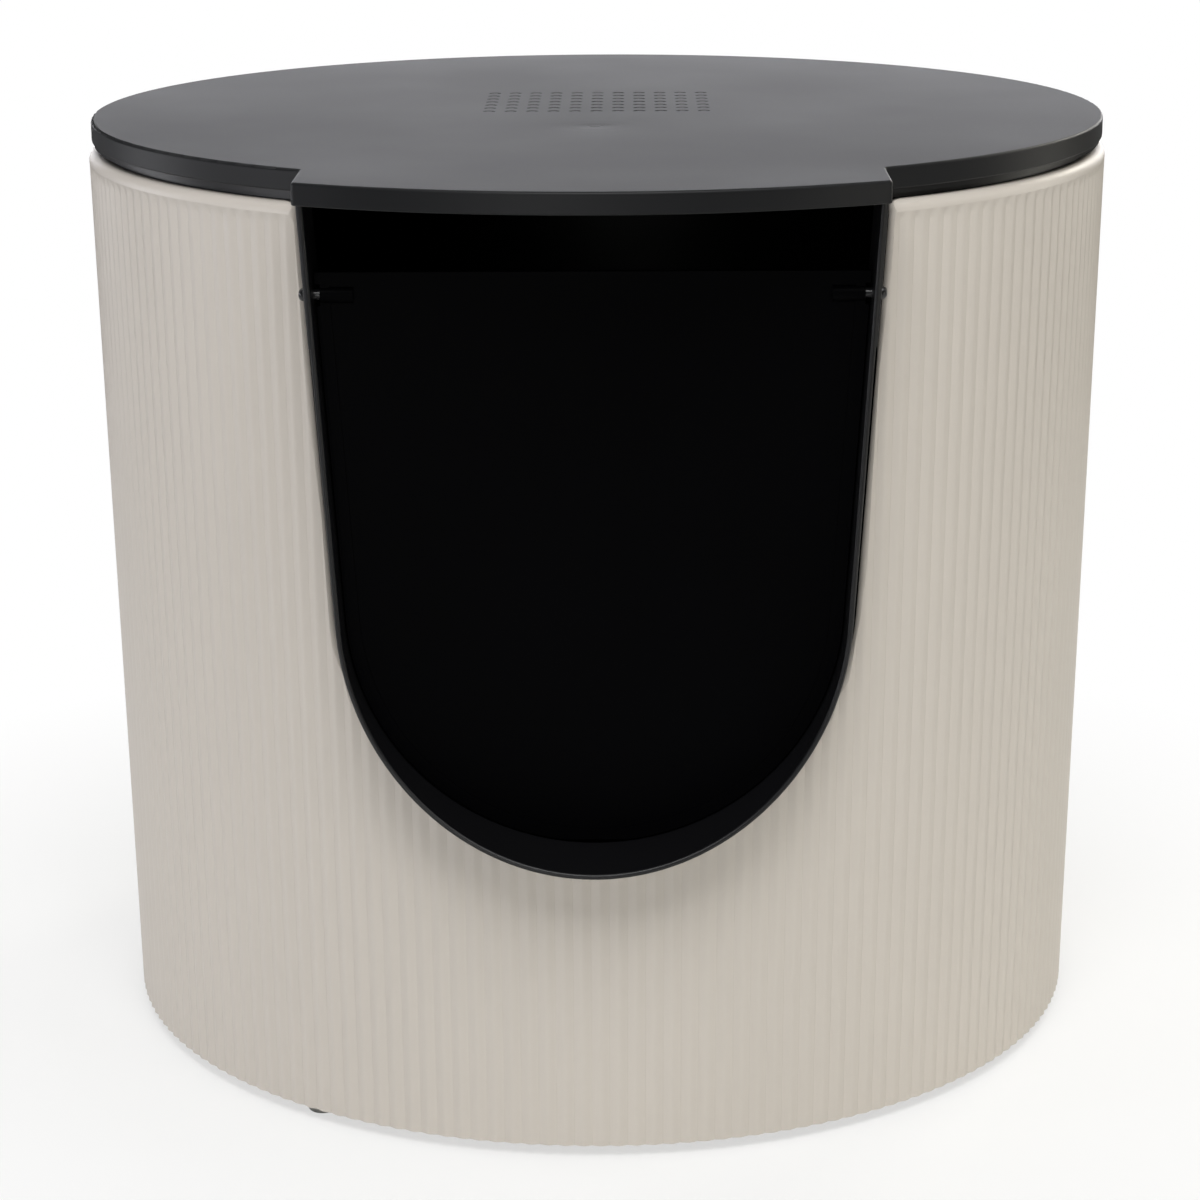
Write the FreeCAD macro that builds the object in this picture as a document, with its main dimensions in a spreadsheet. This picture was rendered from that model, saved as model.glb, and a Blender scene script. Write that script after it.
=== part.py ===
"""Covered litter box: reeded drum, drop-in liner with an entry spout, swing flap and lift-off lid.

Millimetres, +Z up, the entry faces -Y. Each piece is drawn about the drum's own axis, and its
placement then puts the middle of the whole footprint at the origin, on the floor.
"""
import FreeCAD, Part
import math
import os
import Sketcher

Vector = FreeCAD.Vector
doc = FreeCAD.newDocument("covered_litter_box")


# Driving dimensions: name, value, what it is

SIZES = [
    ("rim_radius", 210.4, "outside of the drum at its rim"),
    ("base_radius", 204.0, "outside of the drum at its bottom edge"),
    ("shell_height", 364.2, "drum from bottom edge to rim"),
    ("shell_wall", 2.4, "drum wall"),
    ("shell_floor", 3.0, "drum floor"),
    ("rim_width", 9.0, "rolled rim, across its top"),
    ("rim_round", 4.3, "rounding of the rolled rim"),
    ("rim_lip", 6.0, "inner lip of the rolled rim, from its top"),
    ("reed_count", 186, "reeds round the drum"),
    ("reed_depth", 0.6, "depth of the valleys between reeds"),
    ("reed_inset", 0.05, "reed crests below the smooth rim band"),
    ("reed_margin", 4.6, "reeds end this far below the rim"),
    ("foot_height", 5.0, "bumper foot below the drum"),
    ("foot_radius", 6.0, "bumper foot"),
    ("foot_round", 1.5, "rounding of the foot's lower edge"),
    ("foot_setback", 11.0, "foot centre in from the drum's bottom edge"),
    ("foot_turn", 35.0, "first foot, from the front towards the left, degrees"),
    ("entry_radius", 96.0, "outside radius of the spout's round bottom"),
    ("sill_height", 123.4, "lowest point of the spout above the floor"),
    ("side_taper", 3.6, "lean of the spout's sides, degrees"),
    ("spout_reach", 15.6, "spout's front rim beyond the drum's rim"),
    ("spout_wall", 2.1, "spout wall"),
    ("spout_round", 1.0, "rounding of the spout's front rim"),
    ("cheek_extra", 0.6, "extra thickness of the cheeks round the pins"),
    ("cheek_drop", 18.0, "cheek below the pin axis"),
    ("slot_gap", 2.6, "gap between the spout and the slot in the drum"),
    ("liner_wall", 2.2, "liner wall and floor"),
    ("liner_gap", 1.2, "liner inside the rolled rim"),
    ("liner_draft", 10.0, "liner narrower at its floor than at its top"),
    ("liner_lift", 2.0, "liner floor above the drum floor"),
    ("liner_round", 12.0, "rounding of the liner's bottom edge"),
    ("seat_height", 2.2, "liner's seat ring on the rim"),
    ("seat_setback", 3.5, "seat ring in from the flange edge"),
    ("flange_thickness", 1.8, "liner flange"),
    ("flange_setback", 1.0, "flange edge in from the lid edge"),
    ("lid_setback", 1.4, "lid edge in from the drum's rim"),
    ("lid_height", 8.3, "lid from flange to top"),
    ("lid_plate", 2.5, "lid plate"),
    ("lid_skirt", 2.4, "lid skirt wall"),
    ("lid_round", 1.1, "rounding of the lid's top edge"),
    ("tab_overhang", 12.0, "lid tab beyond the spout's rim"),
    ("tab_extra", 0.0, "lid tab wider than the cheeks, each side"),
    ("tab_corner", 2.0, "rounding of the tab's corners in plan"),
    ("plug_depth", 9.0, "lid's locating ring below the skirt"),
    ("plug_gap", 1.8, "locating ring inside the liner"),
    ("plug_wall", 2.0, "locating ring wall"),
    ("rib_count", 8, "stiffening ribs under the lid"),
    ("rib_start", 88.0, "inner end of a rib from the axis"),
    ("rib_depth", 4.5, "rib below the lid plate"),
    ("rib_wall", 1.6, "rib thickness"),
    ("pin_setback", 36.0, "pin axis behind the spout's rim"),
    ("pin_drop", 35.9, "pin axis below the liner's flange"),
    ("pin_radius", 1.9, "hinge pin"),
    ("pin_fit", 0.08, "running fit of the flap on its pins"),
    ("pin_seat", 0.04, "pin in the cheek"),
    ("head_radius", 2.5, "pin head"),
    ("head_height", 2.7, "pin head"),
    ("head_round", 2.0, "dome of the pin head"),
    ("flap_gap", 0.85, "flap to the spout, each side"),
    ("flap_sill_gap", 1.6, "flap to the spout at the bottom"),
    ("flap_above", 8.4, "flap's top edge above the pin axis"),
    ("flap_edge", 3.4, "flap thickness along its border"),
    ("flap_panel", 2.2, "flap thickness inside the border"),
    ("flap_border", 5.0, "width of the flap's border"),
    ("barrel_radius", 3.2, "flap barrel round the pin"),
    ("barrel_length", 12.0, "flap barrel"),
    ("barrel_gap", 2.4, "flap barrel to the cheek"),
    ("pin_grip", 8.0, "pin inside the barrel"),
    ("vent_rows", 7, "vents from front to back"),
    ("vent_columns", 11, "vents from side to side"),
    ("vent_row_pitch", 10.5, "vent rows apart"),
    ("vent_column_pitch", 8.9, "vent columns apart"),
    ("vent_back", 20.0, "middle of the vents behind the axis"),
    ("vent_arc", 2.1, "radius of a vent's bow"),
    ("vent_width", 1.5, "width of a vent"),
    ("frame_margin", 6.0, "filter frame beyond the vents, each side"),
    ("frame_wall", 2.0, "filter frame"),
    ("frame_depth", 11.5, "filter frame below the lid plate"),
    ("cover_gap", 0.4, "filter cover inside its frame"),
    ("cover_plate", 2.0, "filter cover"),
    ("cover_lift", 3.2, "filter cover above the frame's lower edge"),
    ("cover_pivot", 2.9, "cover's hinge axis from the frame's rear wall"),
    ("stub_radius", 1.5, "cover's hinge stubs"),
    ("stub_reach", 1.6, "stub into the frame wall"),
    ("stub_fit", 0.1, "running fit of the stubs"),
    ("grille_count", 9, "slots in the filter cover"),
    ("grille_width", 5.0, "slot in the filter cover"),
    ("grille_bar", 4.6, "bar between the slots"),
    ("grille_edge", 9.0, "solid edge in front of and behind the slots"),
    ("catch_width", 14.0, "finger catch on the filter cover"),
    ("catch_drop", 5.0, "finger catch below the cover"),
    ("catch_wall", 1.8, "finger catch"),
    ("pad_thickness", 5.6, "carbon pad"),
    ("pad_gap", 0.9, "carbon pad inside the frame"),
    ("pad_setback", 6.0, "carbon pad in front of the cover's axis"),
    ("overrun", 4.0, "how far cutters run past the surface they cut"),
]

sheet = doc.addObject("Spreadsheet::Sheet", "Sizes")
for row, (alias, value, meaning) in enumerate(SIZES, start=1):
    sheet.set(f"A{row}", alias)
    sheet.set(f"B{row}", str(value))
    sheet.set(f"C{row}", meaning)
    sheet.setAlias(f"B{row}", alias)
doc.recompute()


class Size:
    """A number together with the sheet expression that it comes from."""

    def __init__(self, value, text):
        self.value = value
        self.text = text

    def __add__(self, other):
        return Size(self.value + other.value, f"({self.text} + {other.text})")

    def __sub__(self, other):
        return Size(self.value - other.value, f"({self.text} - {other.text})")

    def __neg__(self):
        return Size(-self.value, f"(-{self.text})")

    def __mul__(self, other):
        if isinstance(other, Size):
            return Size(self.value * other.value, f"({self.text} * {other.text})")
        return Size(self.value * other, f"({self.text} * {other})")

    def __truediv__(self, other):
        if isinstance(other, Size):
            return Size(self.value / other.value, f"({self.text} / {other.text})")
        return Size(self.value / other, f"({self.text} / {other})")


def size(alias):
    return Size(float(sheet.get(alias)), f"Sizes.{alias}")


def cosine(angle):
    return Size(math.cos(math.radians(angle.value)), f"cos({angle.text} * 1 deg)")


def sine(angle):
    return Size(math.sin(math.radians(angle.value)), f"sin({angle.text} * 1 deg)")


S = {alias: size(alias) for alias, _value, _meaning in SIZES}
NONE = S["overrun"] * 0

# Levels and radii that several pieces share

shell_bottom = S["foot_height"]
rim_top = shell_bottom + S["shell_height"]
flange_top = rim_top + S["seat_height"] + S["flange_thickness"]
lid_top = flange_top + S["lid_height"]
plate_under = lid_top - S["lid_plate"]
spout_radius = S["rim_radius"] + S["spout_reach"]
tab_radius = spout_radius + S["tab_overhang"]
lid_radius = S["rim_radius"] - S["lid_setback"]
flange_radius = lid_radius - S["flange_setback"]
liner_radius = S["rim_radius"] - S["rim_width"] - S["liner_gap"]
liner_bottom = shell_bottom + S["shell_floor"] + S["liner_lift"]
pin_back = spout_radius - S["pin_setback"]
pin_height = flange_top - S["pin_drop"]
axis_shift = (tab_radius - S["rim_radius"]) / 2


# Drawing helpers

def bind(target, path, length):
    target.setExpression(path, length.text)


def origin_plane(body, role):
    return [plane for plane in body.Origin.OriginFeatures if plane.Role == role][0]


def new_sketch(body, name, role, offset=None):
    sketch = body.newObject("Sketcher::SketchObject", name)
    sketch.AttachmentSupport = [(origin_plane(body, role), "")]
    sketch.MapMode = "FlatFace"
    if offset is not None:
        bind(sketch, "AttachmentOffset.Base.z", offset)
    return sketch


def pin_point(sketch, geometry, end, point):
    """Hold one end of a line or arc at a named place."""
    for kind, length in zip(("DistanceX", "DistanceY"), point):
        index = sketch.addConstraint(Sketcher.Constraint(kind, -1, 1, geometry, end, length.value))
        bind(sketch, f"Constraints[{index}]", length)


def flat(point):
    return Vector(point[0].value, point[1].value, 0)


def add_polygon(sketch, points):
    """Closed outline of straight lines through named points."""
    first = sketch.GeometryCount
    count = len(points)
    for start, end in zip(points, points[1:] + points[:1]):
        sketch.addGeometry(Part.LineSegment(flat(start), flat(end)))
    for index in range(count):
        following = first + (index + 1) % count
        sketch.addConstraint(Sketcher.Constraint("Coincident", first + index, 2, following, 1))
    for index, point in enumerate(points):
        pin_point(sketch, first + index, 1, point)


def add_circle(sketch, centre, radius):
    circle = Part.Circle(flat(centre), Vector(0, 0, 1), radius.value)
    geometry = sketch.addGeometry(circle)
    pin_point(sketch, geometry, 3, centre)
    index = sketch.addConstraint(Sketcher.Constraint("Radius", geometry, radius.value))
    bind(sketch, f"Constraints[{index}]", radius)


def add_rectangle(sketch, half_width, low, high):
    add_polygon(sketch, [(-half_width, low), (half_width, low), (half_width, high), (-half_width, high)])


def revolve(body, name, points, cut=False):
    """Turn an outline in radius and height about the drum's axis."""
    sketch = new_sketch(body, name + "_outline", "XZ_Plane")
    add_polygon(sketch, points)
    kind = "PartDesign::Groove" if cut else "PartDesign::Revolution"
    feature = body.newObject(kind, name)
    feature.Profile = (sketch, [""])
    feature.ReferenceAxis = (sketch, ["V_Axis"])
    feature.Angle = 360
    return feature


def extrude(body, name, sketch, length, cut=False, both=False, back=False):
    feature = body.newObject("PartDesign::Pocket" if cut else "PartDesign::Pad", name)
    feature.Profile = (sketch, [""])
    feature.Length = length.value
    bind(feature, "Length", length)
    if both:
        feature.SideType = "Symmetric"
    feature.Reversed = back
    return feature


def round_edges(body, name, radius, wanted):
    """Fillet the edges of the tip that pass the test."""
    doc.recompute()
    edges = [f"Edge{index}" for index, edge in enumerate(body.Tip.Shape.Edges, start=1) if wanted(edge)]
    if not edges:
        raise RuntimeError(f"{name}: no edge found")
    fillet = body.newObject("PartDesign::Fillet", name)
    fillet.Base = (body.Tip if fillet != body.Tip else fillet.BaseFeature, edges)
    fillet.Radius = radius.value
    bind(fillet, "Radius", radius)
    return fillet


def ring_edge(edge, radius, height):
    """True for a circle about the drum's axis at this radius and height."""
    box = edge.BoundBox
    near = S["overrun"].value / 100
    flat_ring = box.ZLength < near and abs(box.ZMax - height.value) < near
    reach = max(abs(box.YMin), abs(box.YMax), abs(box.XMin), abs(box.XMax))
    return flat_ring and box.XLength + box.YLength > radius.value and abs(reach - radius.value) < near


def entry_outline(offset, top):
    """U outline of the entry, this far outside the spout: corner points and bottom radius."""
    radius = S["entry_radius"] + offset
    centre = S["sill_height"] + S["entry_radius"]
    lean_x = radius * cosine(S["side_taper"])
    lean_z = centre - radius * sine(S["side_taper"])
    slope = sine(S["side_taper"]) / cosine(S["side_taper"])
    top_x = lean_x + (top - lean_z) * slope
    return radius, centre, (lean_x, lean_z), (top_x, top)


def side_at(offset, height):
    """Half width of the entry outline at a height on its straight sides."""
    _radius, _centre, _lean, corner = entry_outline(offset, height)
    return corner[0]


def add_entry(sketch, offset, top):
    """Draw the U outline: two leaning sides, a straight top and a round bottom."""
    radius, centre, lean, corner = entry_outline(offset, top)
    left_lean = (-lean[0], lean[1])
    left_corner = (-corner[0], corner[1])
    first = sketch.GeometryCount
    sketch.addGeometry(Part.LineSegment(flat(lean), flat(corner)))
    sketch.addGeometry(Part.LineSegment(flat(corner), flat(left_corner)))
    sketch.addGeometry(Part.LineSegment(flat(left_corner), flat(left_lean)))
    lowest = (NONE, centre - radius)
    sketch.addGeometry(Part.Arc(flat(left_lean), flat(lowest), flat(lean)))
    for index in range(2):
        sketch.addConstraint(Sketcher.Constraint("Coincident", first + index, 2, first + index + 1, 1))
    sketch.addConstraint(Sketcher.Constraint("Coincident", first + 2, 2, first + 3, 1))
    sketch.addConstraint(Sketcher.Constraint("Coincident", first + 3, 2, first, 1))
    pin_point(sketch, first, 1, lean)
    pin_point(sketch, first, 2, corner)
    pin_point(sketch, first + 2, 1, left_corner)
    pin_point(sketch, first + 2, 2, left_lean)
    index = sketch.addConstraint(Sketcher.Constraint("Radius", first + 3, radius.value))
    bind(sketch, f"Constraints[{index}]", radius)


def new_body(label):
    body = doc.addObject("PartDesign::Body", label)
    body.Label = label
    return body


def place(piece):
    """Put a finished piece in the shared frame."""
    piece.Placement = FreeCAD.Placement(Vector(0, axis_shift.value, 0), FreeCAD.Rotation())
    bind(piece, "Placement.Base.y", axis_shift)
    return piece


pieces = []


# Outer shell: a drafted drum with a floor, a rolled rim, an open-topped slot and reeds

def shell_core():
    body = new_body("shell_core")
    lip = S["rim_radius"] - S["rim_width"]
    wall = S["shell_wall"]
    revolve(body, "drum", [
        (NONE, shell_bottom),
        (S["base_radius"], shell_bottom),
        (S["rim_radius"], rim_top),
        (lip, rim_top),
        (lip, rim_top - S["rim_lip"]),
        (lip + wall, rim_top - S["rim_lip"]),
        (lip + wall, rim_top - wall),
        (S["rim_radius"] - wall, rim_top - wall),
        (S["base_radius"] - wall, shell_bottom + S["shell_floor"]),
        (NONE, shell_bottom + S["shell_floor"]),
    ])
    round_edges(body, "rolled_rim", S["rim_round"], lambda edge: (
        ring_edge(edge, S["rim_radius"], rim_top) or ring_edge(edge, lip, rim_top)))
    slot = new_sketch(body, "slot_outline", "XZ_Plane")
    add_entry(slot, S["slot_gap"], rim_top + S["overrun"])
    extrude(body, "slot", slot, S["rim_radius"] + S["overrun"], cut=True, back=True)
    return body


def reed_outline(radius, height):
    """Closed ring of shallow arcs: one reed each, meeting in sharp valleys."""
    count = int(S["reed_count"].value)
    crest = radius - S["reed_inset"].value
    valley = crest - S["reed_depth"].value
    step = 2 * math.pi / count

    def at(reach, angle):
        return Vector(reach * math.cos(angle), reach * math.sin(angle), height)

    arcs = []
    for index in range(count):
        start = index * step
        arc = Part.Arc(at(valley, start), at(crest, start + step / 2), at(valley, start + step))
        arcs.append(arc.toShape())
    return Part.Wire(arcs)


def reed_cutter():
    """Sleeve whose inner face is the reeded surface, from below the drum up to the smooth band."""
    overrun = S["overrun"].value
    low = shell_bottom.value - overrun
    high = rim_top.value - S["reed_margin"].value
    slope = (S["rim_radius"].value - S["base_radius"].value) / S["shell_height"].value
    low_radius = S["base_radius"].value - slope * overrun
    high_radius = S["rim_radius"].value - slope * S["reed_margin"].value
    reeds = Part.makeLoft([reed_outline(low_radius, low), reed_outline(high_radius, high)], True, True)
    sleeve = Part.makeCylinder(high_radius + overrun, high - low, Vector(0, 0, low))
    cutter = doc.addObject("Part::Feature", "reed_cutter")
    cutter.Shape = sleeve.cut(reeds)
    return cutter


def outer_shell():
    shell = doc.addObject("Part::Cut", "outer_shell")
    shell.Base = shell_core()
    shell.Tool = reed_cutter()
    return place(shell)


# Feet: round bumpers stuck under the floor

def foot(label, quarter):
    body = new_body(label)
    disc = new_sketch(body, label + "_outline", "XY_Plane")
    reach = S["base_radius"] - S["foot_setback"]
    angle = math.radians(quarter * 90 - S["foot_turn"].value)
    turned = f"({quarter * 90} - Sizes.foot_turn) * 1 deg"
    across = Size(reach.value * math.sin(angle), f"({reach.text} * sin({turned}))")
    along = Size(-reach.value * math.cos(angle), f"(-{reach.text} * cos({turned}))")
    add_circle(disc, (across, along), S["foot_radius"])
    extrude(body, label + "_disc", disc, S["foot_height"])
    near = S["foot_height"].value / 100
    round_edges(body, label + "_edge", S["foot_round"], lambda edge: abs(edge.BoundBox.ZMax) < near)
    return place(body)


# Litter liner: a bucket that hangs by its flange, with the entry spout and its cheeks

def litter_liner():
    body = new_body("litter_liner")
    wall = S["liner_wall"]
    floor_radius = liner_radius - S["liner_draft"]
    seat_radius = flange_radius - S["seat_setback"]
    flange_under = rim_top + S["seat_height"]
    above = flange_top + S["overrun"]
    revolve(body, "bucket", [
        (NONE, liner_bottom),
        (floor_radius, liner_bottom),
        (liner_radius, rim_top),
        (seat_radius, rim_top),
        (seat_radius, flange_under),
        (flange_radius, flange_under),
        (flange_radius, flange_top),
        (NONE, flange_top),
    ])
    spout = new_sketch(body, "spout_outline", "XZ_Plane")
    add_entry(spout, NONE, flange_top)
    extrude(body, "spout", spout, spout_radius + S["overrun"])
    cheek_bottom = pin_height - S["cheek_drop"]
    cheeks = new_sketch(body, "cheek_outline", "XZ_Plane")
    low = side_at(S["cheek_extra"], cheek_bottom)
    high = side_at(S["cheek_extra"], flange_top)
    add_polygon(cheeks, [(-low, cheek_bottom), (low, cheek_bottom), (high, flange_top), (-high, flange_top)])
    extrude(body, "cheeks", cheeks, spout_radius + S["overrun"])
    beyond = spout_radius + S["entry_radius"]
    revolve(body, "spout_front", [
        (spout_radius, shell_bottom),
        (beyond, shell_bottom),
        (beyond, above),
        (spout_radius, above),
    ], cut=True)
    inner_floor = liner_bottom + wall
    revolve(body, "hollow", [
        (NONE, inner_floor),
        (floor_radius - wall, inner_floor),
        (liner_radius - wall, rim_top),
        (liner_radius - wall, above),
        (NONE, above),
    ], cut=True)
    round_edges(body, "hollow_edge", S["liner_round"] - wall, lambda edge: (
        ring_edge(edge, floor_radius - wall, inner_floor)))
    round_edges(body, "bucket_edge", S["liner_round"], lambda edge: (
        ring_edge(edge, floor_radius, liner_bottom)))
    entry = new_sketch(body, "entry_outline", "XZ_Plane")
    add_entry(entry, -S["spout_wall"], above)
    extrude(body, "entry", entry, spout_radius + S["overrun"], cut=True, back=True)
    holes = new_sketch(body, "pin_hole_outline", "YZ_Plane")
    add_circle(holes, (-pin_back, pin_height), S["pin_radius"] + S["pin_seat"])
    extrude(body, "pin_holes", holes, (flange_radius + S["overrun"]) * 2, cut=True, both=True)
    near = S["overrun"].value / 100

    def on_front(edge):
        ends = [vertex.Point for vertex in edge.Vertexes]
        reach = [abs(math.hypot(end.x, end.y) - spout_radius.value) for end in ends]
        low_front = edge.BoundBox.ZMin < flange_top.value - near
        return bool(ends) and max(reach) < near and low_front and edge.Length > S["cheek_extra"].value * 2

    round_edges(body, "spout_rim", S["spout_round"], on_front)
    return place(body)


# Hinge pins: domed head outside the cheek, plain shank into the flap's barrel

def barrel_end():
    return side_at(-S["spout_wall"], pin_height) - S["barrel_gap"]


def hinge_pin(label, side):
    body = new_body(label)
    under_head = side_at(S["cheek_extra"], pin_height + S["head_radius"])
    tip = barrel_end() - S["pin_grip"]
    crown = under_head + S["head_height"]
    sketch = new_sketch(body, label + "_outline", "XZ_Plane")
    add_polygon(sketch, [
        (tip, NONE),
        (tip, S["pin_radius"]),
        (under_head, S["pin_radius"]),
        (under_head, S["head_radius"]),
        (crown, S["head_radius"]),
        (crown, NONE),
    ])
    turned = body.newObject("PartDesign::Revolution", label + "_turned")
    turned.Profile = (sketch, [""])
    turned.ReferenceAxis = (sketch, ["H_Axis"])
    turned.Angle = 360
    near = S["head_radius"].value / 100
    round_edges(body, label + "_dome", S["head_round"], lambda edge: (
        abs(edge.BoundBox.XMin - crown.value) < near and edge.BoundBox.ZLength > S["pin_radius"].value))
    half_turn = 0 if side > 0 else 180
    body.Placement = FreeCAD.Placement(
        Vector(0, axis_shift.value - pin_back.value, pin_height.value),
        FreeCAD.Rotation(Vector(0, 0, 1), half_turn))
    bind(body, "Placement.Base.y", axis_shift - pin_back)
    bind(body, "Placement.Base.z", pin_height)
    return body


# Flap door: a thin panel with a raised border, hung from two barrels

def flap_panel():
    body = new_body("flap_panel")
    top = pin_height + S["flap_above"]
    inset = S["spout_wall"] + S["flap_gap"]
    half_edge = S["flap_edge"] / 2
    lift = S["flap_sill_gap"] - S["flap_gap"]
    full = new_sketch(body, "flap_outline", "XZ_Plane", pin_back)
    add_entry(full, -inset, top)
    extrude(body, "flap_plate", full, S["flap_edge"], both=True)
    for face, away in (("front", 1), ("rear", -1)):
        panel = new_sketch(body, f"{face}_panel_outline", "XZ_Plane", pin_back + half_edge * away)
        add_entry(panel, -inset - S["flap_border"], top - S["flap_border"])
        depth = (S["flap_edge"] - S["flap_panel"]) / 2
        extrude(body, f"{face}_panel", panel, depth, cut=True, back=away < 0)
    sill = new_sketch(body, "sill_outline", "XZ_Plane", pin_back)
    lowest = S["sill_height"] + inset
    add_rectangle(sill, S["entry_radius"], lowest - S["overrun"], lowest + lift)
    extrude(body, "sill_trim", sill, S["flap_edge"] + S["overrun"], cut=True, both=True)
    return body


def cylinder_along_x(label, radius, start, length):
    rod = doc.addObject("Part::Cylinder", label)
    rod.Placement = FreeCAD.Placement(
        Vector(start.value, -pin_back.value, pin_height.value),
        FreeCAD.Rotation(Vector(0, 1, 0), 90))
    bind(rod, "Radius", radius)
    bind(rod, "Height", length)
    bind(rod, "Placement.Base.x", start)
    bind(rod, "Placement.Base.y", -pin_back)
    bind(rod, "Placement.Base.z", pin_height)
    return rod


def flap_door():
    reach = barrel_end()
    barrels = []
    cutters = []
    clear = S["barrel_radius"] + S["flap_gap"]
    for side, start in (("right", reach - S["barrel_length"]), ("left", -reach)):
        barrels.append(cylinder_along_x(f"barrel_{side}", S["barrel_radius"], start, S["barrel_length"]))
    bore_length = S["pin_grip"] + S["flap_gap"]
    bore_radius = S["pin_radius"] + S["pin_fit"]
    for side, start in (("right", reach - bore_length), ("left", -reach - S["overrun"])):
        length = bore_length + S["overrun"]
        cutters.append(cylinder_along_x(f"barrel_bore_{side}", bore_radius, start, length))
    for side, start in (("right", reach), ("left", -reach - S["barrel_radius"] * 2)):
        notch = doc.addObject("Part::Box", f"barrel_notch_{side}")
        bind(notch, "Length", S["barrel_radius"] * 2)
        bind(notch, "Width", clear * 2)
        bind(notch, "Height", clear * 2)
        bind(notch, "Placement.Base.x", start)
        bind(notch, "Placement.Base.y", -pin_back - clear)
        bind(notch, "Placement.Base.z", pin_height - clear)
        cutters.append(notch)
    joined = doc.addObject("Part::MultiFuse", "flap_with_barrels")
    joined.Shapes = [flap_panel()] + barrels
    tools = doc.addObject("Part::MultiFuse", "flap_cutters")
    tools.Shapes = cutters
    flap = doc.addObject("Part::Cut", "flap_door")
    flap.Base = joined
    flap.Tool = tools
    return place(flap)


# Lid: skirted disc with a front tab, vents, a locating ring and the filter frame

def add_tab(sketch, half_width, radius):
    """Straight sides from the axis out to an arc about the axis."""
    corner_y = Size(-math.sqrt(radius.value ** 2 - half_width.value ** 2),
                    f"(-sqrt({radius.text} ^ 2 - {half_width.text} ^ 2))")
    right = (half_width, corner_y)
    left = (-half_width, corner_y)
    first = sketch.GeometryCount
    sketch.addGeometry(Part.LineSegment(flat((half_width, NONE)), flat((-half_width, NONE))))
    sketch.addGeometry(Part.LineSegment(flat((-half_width, NONE)), flat(left)))
    sketch.addGeometry(Part.Arc(flat(left), flat((NONE, -radius)), flat(right)))
    sketch.addGeometry(Part.LineSegment(flat(right), flat((half_width, NONE))))
    sketch.addConstraint(Sketcher.Constraint("Coincident", first, 2, first + 1, 1))
    sketch.addConstraint(Sketcher.Constraint("Coincident", first + 1, 2, first + 2, 1))
    sketch.addConstraint(Sketcher.Constraint("Coincident", first + 2, 2, first + 3, 1))
    sketch.addConstraint(Sketcher.Constraint("Coincident", first + 3, 2, first, 1))
    pin_point(sketch, first, 1, (half_width, NONE))
    pin_point(sketch, first, 2, (-half_width, NONE))
    pin_point(sketch, first + 2, 1, left)
    pin_point(sketch, first + 2, 2, right)
    index = sketch.addConstraint(Sketcher.Constraint("Radius", first + 2, radius.value))
    bind(sketch, f"Constraints[{index}]", radius)


def frame_half():
    """Inner half width and half depth of the filter frame."""
    wide = S["vent_column_pitch"] * (S["vent_columns"] - Size(1, "1")) / 2
    deep = S["vent_row_pitch"] * (S["vent_rows"] - Size(1, "1")) / 2
    return wide + S["frame_margin"], deep + S["frame_margin"]


def cover_axis():
    """Place of the cover's hinge axis, behind the drum's axis and above the floor."""
    _wide, deep = frame_half()
    height = plate_under - S["frame_depth"] + S["cover_lift"] + S["cover_plate"] / 2
    return S["vent_back"] + deep - S["cover_pivot"], height


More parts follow.
